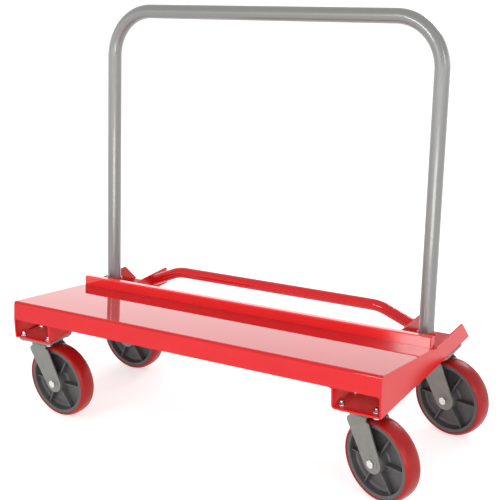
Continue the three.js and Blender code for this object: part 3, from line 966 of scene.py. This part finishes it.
def fork():
    """Yoke pressed from one strap, drawn flat in (x, distance over the crown) and folded down."""
    flat = FORK_OUTSIDE - FORK_BEND
    wrap = FORK_BEND * math.pi / 2

    def over(z):
        return flat + wrap + (CROWN_TOP - FORK_BEND - z)

    knee, boss = over(SKIRT_LOW), over(WHEEL_RADIUS)
    a0 = tangent_point(FORK_HALF, SKIRT_LOW, -1)
    a1 = tangent_point(-FORK_HALF, SKIRT_LOW, 1)
    tip = arc(WHEEL_OFFSET, WHEEL_RADIUS, FORK_BOSS, a0, a1 - 360, 24)
    leg = [(FORK_HALF, knee), *[(x, boss - (z - WHEEL_RADIUS)) for x, z in tip], (-FORK_HALF, knee)]
    leg = rounded(leg, {0: 10.0, len(leg) - 1: 10.0}, 6)
    outline = leg + [(x, -v) for x, v in reversed(leg)]

    def fold(x, v, t):
        side = math.copysign(1, v)
        far = abs(v)
        if far <= flat:
            y, z = far, CROWN_TOP - t
        elif far >= flat + wrap:
            y, z = FORK_OUTSIDE - t, CROWN_TOP - FORK_BEND - (far - flat - wrap)
        else:
            a = (far - flat) / FORK_BEND
            y = flat + (FORK_BEND - t) * math.sin(a)
            z = CROWN_TOP - FORK_BEND + (FORK_BEND - t) * math.cos(a)
        return (x, side * y, z)

    cuts = [s * (flat + wrap * k / 7) for s in (-1, 1) for k in range(8)]
    return bent_plate(outline, cuts, FORK_PLATE, fold, bevel=0.7)


def axle_washers():
    """Broad domed washers, one against each fork leg."""
    washers = bmesh.new()
    for side in (-1, 1):
        profile = [(6.6, 0), (17.0, 0), (17.0, 0.7), (16.2, 1.3), (13.0, 1.7), (6.6, 1.8)]
        placed = [(r, side * (FORK_OUTSIDE + h)) for r, h in profile]
        merge(washers, lathe(placed, 48, across_wheel))
    return washers


def axle_head():
    """Hex bolt through the fork, with its threaded end beyond the other leg."""
    face = -FORK_OUTSIDE - WASHER_ROOM
    end = FORK_OUTSIDE + 2
    shaft = [(0, face - 1), (AXLE_RADIUS, face - 1), (AXLE_RADIUS, end), (0, end)]
    head = hexagon(AXLE_HEX, face - 5.3, face, chamfer_high=False, place=across_wheel)
    rim = [(0, face - 5.2), (5.6, face - 5.2), (6.0, face - 5.5), (5.6, face - 5.8), (0, face - 5.8)]
    merge(head, lathe(rim, 32, across_wheel), lathe(shaft, 32, across_wheel))
    tail = threaded(AXLE_THREAD, FORK_OUTSIDE + 1, FORK_OUTSIDE + 12.0, across_wheel, pitch=1.75)
    return merge(head, tail)


def axle_nut():
    """Hex nut with the plain crown of a locknut."""
    face = FORK_OUTSIDE + WASHER_ROOM
    rim = ((6.4, 5.5), (9.0, 5.5), (8.8, 6.6), (8.2, 7.2), (6.4, 7.2))
    crown = [(r, face + h) for r, h in rim]
    nut = hexagon(AXLE_HEX, face, face + 6.0, chamfer_low=False, place=across_wheel)
    return merge(nut, lathe(crown, 40, across_wheel))


def mirrored(upper):
    """Closed profile from its half at positive height."""
    return [*upper, *[(r, -h) for r, h in reversed(upper)]]


def wheel_core():
    """Hub, web and rim turned in one, with ribs on both faces of the web."""
    rim = TYRE_INNER
    upper = [
        (12.2, 29.6),
        (25.6, 30.0),
        (27.0, 29.6),
        (27.7, 28.4),
        (28.6, 14.0),
        (29.6, 8.5),
        (32.0, 5.4),
        (36.0, 4.2),
        (rim - 21, 4.0),
        (rim - 16, 4.8),
        (rim - 13.2, 7.2),
        (rim - 12.0, 11.0),
        (rim - 10.2, 21.2),
        (rim - 9.6, 22.8),
        (rim - 8.4, 23.5),
        (rim - 0.9, 23.5),
        (rim, 22.9),
    ]
    core = lathe(mirrored(upper)[::-1], 96, across_wheel)
    centre = Matrix.Translation((WHEEL_OFFSET, 0, WHEEL_RADIUS))
    for k in range(SPOKES):
        turn = centre @ Matrix.Rotation(2 * math.pi * k / SPOKES, 4, "Y")
        for face in (-1, 1):
            rib = bmesh.new()
            rows = []
            for r, top in ((26.0, 21.5), (rim - 10.4, 18.5)):
                section = ((3.0, -2.7), (3.0, 2.7), (top, 1.8), (top, -1.8))
                rows.append([rib.verts.new((r, face * h, half)) for h, half in section])
            cap_ends(rib, rows)
            join_rings(rib, rows)
            soften(rib, 0.8)
            rib.transform(turn)
            merge(core, rib)
    return core


def wheel_sleeve():
    """Roller bearing ends set into the hub."""
    upper = [
        (6.6, 30.3),
        (9.2, 30.3),
        (9.6, 29.9),
        (9.6, 29.4),
        (10.2, 29.4),
        (11.8, 29.8),
        (12.1, 29.2),
    ]
    return lathe(mirrored(upper)[::-1], 48, across_wheel)


def tyre():
    upper = [
        (TYRE_INNER, 23.6),
        (TYRE_INNER + 0.6, 24.6),
        (TYRE_INNER + 1.9, 25.0),
        (TYRE_INNER + 3.4, 24.6),
        (WHEEL_RADIUS - 5.4, 23.2),
        (WHEEL_RADIUS - 3.9, 21.3),
        (WHEEL_RADIUS - 2.6, 18.8),
        (WHEEL_RADIUS - 1.5, 15.4),
        (WHEEL_RADIUS - 0.7, 11.2),
        (WHEEL_RADIUS - 0.2, 6.4),
        (WHEEL_RADIUS, 1.6),
    ]
    return lathe(mirrored(upper)[::-1], 128, across_wheel)


joints = {joint["name"]: joint for joint in frame["joints"]}
for tag in TAGS:
    pin = Vector(joints[f"swivel_turn_{tag}"]["pos_m"])
    axle = Vector(joints[f"wheel_spin_{tag}"]["axis"])
    turned = Matrix(((axle.y, axle.x, 0, 0), (-axle.x, axle.y, 0, 0), (0, 0, 1, 0), (0, 0, 0, 1)))
    fixed = Matrix.Translation((pin.x, pin.y, 0)) @ Matrix.Scale(MM, 4)
    trailing = Matrix.Translation((pin.x, pin.y, 0)) @ turned @ Matrix.Scale(MM, 4)
    low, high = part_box(f"caster_plate_{tag}")
    long_x = high.x - low.x > high.y - low.y
    piece(
        f"mount_plate_{tag}",
        caster_plate(long_x, low.z / MM, WEB_Z - GAP),
        STEEL,
        "cart",
        "grey_steel",
        [f"caster_plate_{tag}"],
        fixed,
    )
    for i in range(1, 5):
        near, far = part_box(f"plate_bolt_{tag}_{i}")
        spot = Matrix.Translation(((near.x + far.x) / 2, (near.y + far.y) / 2, 0)) @ Matrix.Scale(MM, 4)
        # Each head of the four is turned by a different amount.
        spot = spot @ Matrix.Rotation(0.35 + 0.9 * i, 4, "Z")
        node = f"plate_bolt_{tag}_{i}"
        piece(f"hex_bolt_{tag}_{i}", plate_bolt(), ZINC, "cart", "zinc_bolt", [node], spot)
    swivel, wheel = f"swivel_{tag}", f"wheel_{tag}"
    for name, shape, look, body, slot, node in (
        ("raceway", ball_race, STEEL, swivel, "zinc_bolt", "ball_race"),
        ("yoke", fork, STEEL, swivel, "grey_steel", "fork"),
        ("axle_screw", axle_head, ZINC, swivel, "zinc_bolt", "axle_bolt"),
        ("axle_locknut", axle_nut, ZINC, swivel, "zinc_bolt", "axle_nut"),
        ("axle_washers", axle_washers, STEEL, swivel, "grey_steel", None),
        ("hub_bearing", wheel_sleeve, ZINC, wheel, "zinc_bolt", None),
        ("spoked_core", wheel_core, CORE, wheel, "core_plastic", "wheel_core"),
        ("tread", tyre, TREAD, wheel, "red_urethane", "tyre"),
    ):
        nodes = [f"{node}_{tag}"] if node else ()
        piece(f"{name}_{tag}", shape(), look, body, slot, nodes, trailing)


# --- floor, light and camera -----------------------------------------------------------------------


FLOOR_HALF = 40.0  # metres


def floor():
    bm = bmesh.new()
    half = FLOOR_HALF
    corners = ((-half, -half, 0), (half, -half, 0), (half, half, 0), (-half, half, 0))
    bm.faces.new([bm.verts.new(p) for p in corners])
    mesh = bpy.data.meshes.new("floor")
    bm.to_mesh(mesh)
    bm.free()
    m = Nodes("studio_floor")
    m.set(
        Base_Color=(0.68, 0.68, 0.68, 1),
        Roughness=0.9,
        Specular_IOR_Level=0.0,
        Emission_Color=(1, 1, 1, 1),
        Emission_Strength=0.53,
    )
    mesh.materials.append(m.material)
    obj = bpy.data.objects.new("floor", mesh)
    bpy.context.scene.collection.objects.link(obj)
    obj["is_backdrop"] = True


def area_light(name, place, target, size, power):
    data = bpy.data.lights.new(name, "AREA")
    data.shape = "RECTANGLE"
    data.size, data.size_y = size
    data.energy = power
    obj = bpy.data.objects.new(name, data)
    obj.location = place
    obj.rotation_euler = (Vector(target) - Vector(place)).to_track_quat("-Z", "Y").to_euler()
    bpy.context.scene.collection.objects.link(obj)


# Name, place, point aimed at, width and height in metres, power in watts.
LIGHTS = (
    ("key", (-1.02, -4.20, 2.24), (0, 0, 0.4), (0.9, 0.6), 40),
    ("side", (4.0, -1.5, 2.2), (0, 0, 0.4), (0.6, 1.0), 24),
    ("fill", (1.5, -3.2, 0.55), (0, 0, 0.25), (2.4, 0.6), 34),
    ("back", (0.6, 3.2, 2.3), (0, 0, 0.1), (1.2, 0.5), 26),
)

floor()
for light in LIGHTS:
    area_light(*light)

# The surroundings are brighter up to the first height and dimmer from the second, straight up being 1.
GLOW_HEIGHTS = (0.08, 0.3)
GLOW_STRENGTHS = (2.1, 0.92)

scene = bpy.context.scene
world = bpy.data.worlds.new("studio")
scene.world = world
world.use_nodes = True
background = world.node_tree.nodes["Background"]
background.inputs["Color"].default_value = (1, 1, 1, 1)
direction = world.node_tree.nodes.new("ShaderNodeTexCoord").outputs["Generated"]
height = world.node_tree.nodes.new("ShaderNodeSeparateXYZ")
fall = world.node_tree.nodes.new("ShaderNodeMapRange")
for key, value in zip(("From Min", "From Max", "To Min", "To Max"), GLOW_HEIGHTS + GLOW_STRENGTHS):
    fall.inputs[key].default_value = value
world.node_tree.links.new(direction, height.inputs["Vector"])
world.node_tree.links.new(height.outputs["Z"], fall.inputs["Value"])
world.node_tree.links.new(fall.outputs["Result"], background.inputs["Strength"])
scene.view_settings.view_transform = "Standard"

# The camera stands to the right of the cart and looks down a little, turned slightly about its axis.
CAMERA_PLACE = (1543.2, -2063.9, 1380.8)
CAMERA_HEADING = math.radians(32.54)
CAMERA_DOWN = math.radians(17.8)
CAMERA_ROLL = math.radians(-2.55)
CAMERA_LENS, CAMERA_SENSOR = 78.07, 36.0

forward = Vector(
    (
        -math.sin(CAMERA_HEADING) * math.cos(CAMERA_DOWN),
        math.cos(CAMERA_HEADING) * math.cos(CAMERA_DOWN),
        -math.sin(CAMERA_DOWN),
    )
)
level = Vector((math.cos(CAMERA_HEADING), math.sin(CAMERA_HEADING), 0))
above = level.cross(forward)
right = level * math.cos(CAMERA_ROLL) + above * math.sin(CAMERA_ROLL)
up = above * math.cos(CAMERA_ROLL) - level * math.sin(CAMERA_ROLL)
lens = bpy.data.cameras.new("camera")
lens.lens = CAMERA_LENS
lens.sensor_width = CAMERA_SENSOR
lens.clip_end = 200.0
camera = bpy.data.objects.new("camera", lens)
bpy.context.scene.collection.objects.link(camera)
pose = Matrix((right, up, -forward)).transposed().to_4x4()
camera.matrix_world = Matrix.Translation(CART @ Vector(CAMERA_PLACE)) @ pose
scene.camera = camera

bpy.context.view_layer.update()
low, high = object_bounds()
